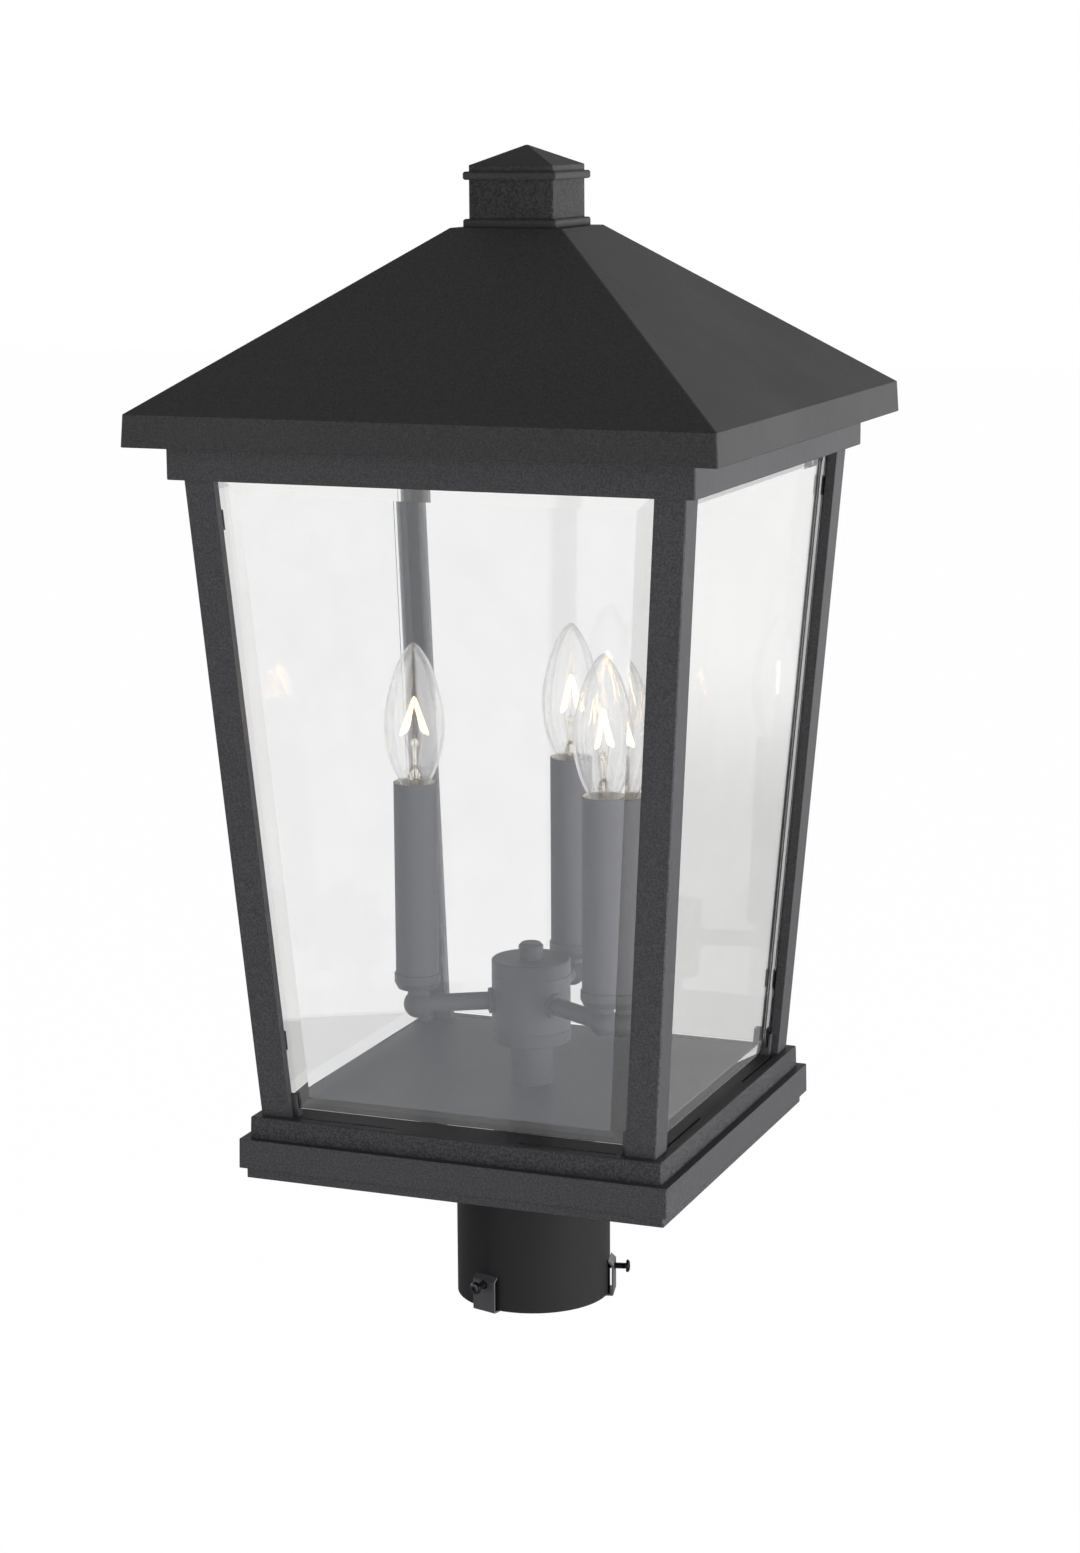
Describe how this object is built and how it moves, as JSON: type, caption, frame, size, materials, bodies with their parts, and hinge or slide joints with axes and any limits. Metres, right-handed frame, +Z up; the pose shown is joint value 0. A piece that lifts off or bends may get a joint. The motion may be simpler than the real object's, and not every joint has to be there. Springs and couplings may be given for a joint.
{
  "type": "post top lantern",
  "caption": "Square tapered post top lantern with a pyramid roof, bevelled clear glass panes, a candle lamp cluster inside and a round fitter that clamps on a post.",
  "frame": {"origin": "centre of the post fitter's mouth, on the lantern's axis", "axes": "+Z up along the lantern's axis, -Y out of one of the four equal glazed sides, +X to the right of it"},
  "size_m": [0.3048, 0.3048, 0.603],
  "materials": {
    "powder_coat": "fine sand-textured matt black powder coat",
    "fitter_coat": "satin black paint",
    "black_paint": "satin black paint",
    "clip_steel": "black coated spring steel",
    "screw_steel": "blackened steel",
    "zinc_steel": "bright zinc plate",
    "black_clip": "black",
    "clear_glass": "clear with polished bevels",
    "bulb_glass": "clear",
    "holder_plastic": "moulded phenolic",
    "brass": "plain",
    "nickel": "nickel plate",
    "solder": "solder",
    "filament": "lit tungsten wire"
  },
  "bodies": {
    "lantern": {"post_fitter": "fitter_coat", "base_plate": "powder_coat", "base_tray": "powder_coat", "corner_post_1": "powder_coat", "corner_post_2": "powder_coat", "corner_post_3": "powder_coat", "corner_post_4": "powder_coat", "top_frame": "powder_coat", "stem_cover": "black_paint", "hub_body": "black_paint", "hub_top_cap": "black_paint", "hub_bottom_cap": "black_paint", "hub_knob": "black_paint", "arm_1": "black_paint", "arm_2": "black_paint", "arm_3": "black_paint", "arm_collars": "black_paint", "elbows": "black_paint", "candle_cups": "black_paint", "candle_sleeve_1": "black_paint", "candle_sleeve_2": "black_paint", "candle_sleeve_3": "black_paint", "u_nuts": "clip_steel", "frame_screws": "screw_steel", "roof_crossbar": "zinc_steel", "roof_stud": "zinc_steel", "stud_nuts": "zinc_steel", "stem_pipe": "zinc_steel", "stem_nut": "zinc_steel", "arm_lock_nuts": "zinc_steel", "candle_pipes": "zinc_steel", "pane_rests": "black_clip", "pane_clips": "black_clip", "pane_1": "clear_glass", "pane_2": "clear_glass", "pane_3": "clear_glass", "pane_4": "clear_glass", "lampholders": "holder_plastic", "socket_contacts": "brass"},
    "roof": {"roof_shell": "powder_coat"},
    "finial_insert": {"finial_insert": "brass"},
    "finial": {"finial_cap": "powder_coat"},
    "bulb_contact_1": {"bulb_contact_1": "solder"},
    "bulb_1": {"bulb_glass_1": "bulb_glass", "bulb_base_1": "nickel", "bulb_mount_1": "bulb_glass", "bulb_filament_1": "filament"},
    "set_screw_1": {"set_screw_1": "screw_steel"},
    "bulb_contact_2": {"bulb_contact_2": "solder"},
    "bulb_2": {"bulb_glass_2": "bulb_glass", "bulb_base_2": "nickel", "bulb_mount_2": "bulb_glass", "bulb_filament_2": "filament"},
    "set_screw_2": {"set_screw_2": "screw_steel"},
    "bulb_contact_3": {"bulb_contact_3": "solder"},
    "bulb_3": {"bulb_glass_3": "bulb_glass", "bulb_base_3": "nickel", "bulb_mount_3": "bulb_glass", "bulb_filament_3": "filament"},
    "set_screw_3": {"set_screw_3": "screw_steel"}
  },
  "joints": [
    {"name": "roof_lift", "type": "slide", "parent": "lantern", "child": "roof", "axis": [0, 0, 1], "range_m": [0, 0.13]},
    {"name": "finial_rise", "type": "slide", "parent": "roof", "child": "finial_insert", "axis": [0, 0, 1], "range_m": [0, 0.0145]},
    {"name": "finial_turn", "type": "hinge", "parent": "finial_insert", "child": "finial", "pos_m": [0, 0, 0.5618], "axis": [0, 0, 1], "range_deg": [0, 5184]},
    {"name": "bulb_rise_1", "type": "slide", "parent": "lantern", "child": "bulb_contact_1", "axis": [0, 0, 1], "range_m": [0, 0.009]},
    {"name": "bulb_turn_1", "type": "hinge", "parent": "bulb_contact_1", "child": "bulb_1", "pos_m": [0, 0.06, 0.2715], "axis": [0, 0, 1], "range_deg": [0, 1260]},
    {"name": "bulb_rise_2", "type": "slide", "parent": "lantern", "child": "bulb_contact_2", "axis": [0, 0, 1], "range_m": [0, 0.009]},
    {"name": "bulb_turn_2", "type": "hinge", "parent": "bulb_contact_2", "child": "bulb_2", "pos_m": [-0.05196, -0.03, 0.2715], "axis": [0, 0, 1], "range_deg": [0, 1260]},
    {"name": "bulb_rise_3", "type": "slide", "parent": "lantern", "child": "bulb_contact_3", "axis": [0, 0, 1], "range_m": [0, 0.009]},
    {"name": "bulb_turn_3", "type": "hinge", "parent": "bulb_contact_3", "child": "bulb_3", "pos_m": [0.05196, -0.03, 0.2715], "axis": [0, 0, 1], "range_deg": [0, 1260]},
    {"name": "set_screw_run_1", "type": "slide", "parent": "lantern", "child": "set_screw_1", "axis": [-0.2756, -0.9613, 0], "range_m": [-0.006, 0]},
    {"name": "set_screw_run_2", "type": "slide", "parent": "lantern", "child": "set_screw_2", "axis": [0.9703, 0.2419, 0], "range_m": [-0.006, 0]},
    {"name": "set_screw_run_3", "type": "slide", "parent": "lantern", "child": "set_screw_3", "axis": [-0.6947, 0.7193, 0], "range_m": [-0.006, 0]}
  ],
  "couplings": [
    {"joint": "finial_rise", "follows": "finial_turn", "m_per_rad": 0.00015915},
    {"joint": "bulb_rise_1", "follows": "bulb_turn_1", "m_per_rad": 0.00040425},
    {"joint": "bulb_rise_2", "follows": "bulb_turn_2", "m_per_rad": 0.00040425},
    {"joint": "bulb_rise_3", "follows": "bulb_turn_3", "m_per_rad": 0.00040425}
  ]
}
